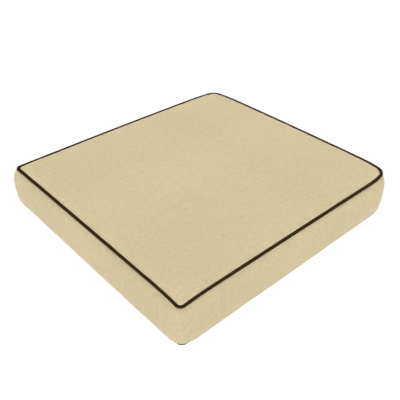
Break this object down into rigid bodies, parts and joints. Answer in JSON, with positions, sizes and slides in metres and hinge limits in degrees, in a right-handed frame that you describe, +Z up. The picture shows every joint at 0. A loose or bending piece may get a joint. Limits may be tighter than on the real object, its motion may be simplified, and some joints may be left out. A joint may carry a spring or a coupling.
{
  "type": "dining chair cushion",
  "caption": "Square box-edged dining chair cushion in tan cloth with a crowned top, bulged boxing and dark contrast piping in its upper and lower seams.",
  "frame": {"origin": "middle of the underside, on the surface that the cushion rests on", "axes": "+X along the wider side, -Y towards the front, +Z up through the crowned top"},
  "size_m": [0.5006, 0.4706, 0.0928],
  "materials": {
    "cover_cloth": "matt tan plain-weave cloth",
    "piping_cloth": "matt dark brown bias-cut cloth over cord"
  },
  "bodies": {
    "root": {"filled_cover": "cover_cloth", "piping_upper": "piping_cloth", "piping_lower": "piping_cloth"}
  },
  "joints": []
}
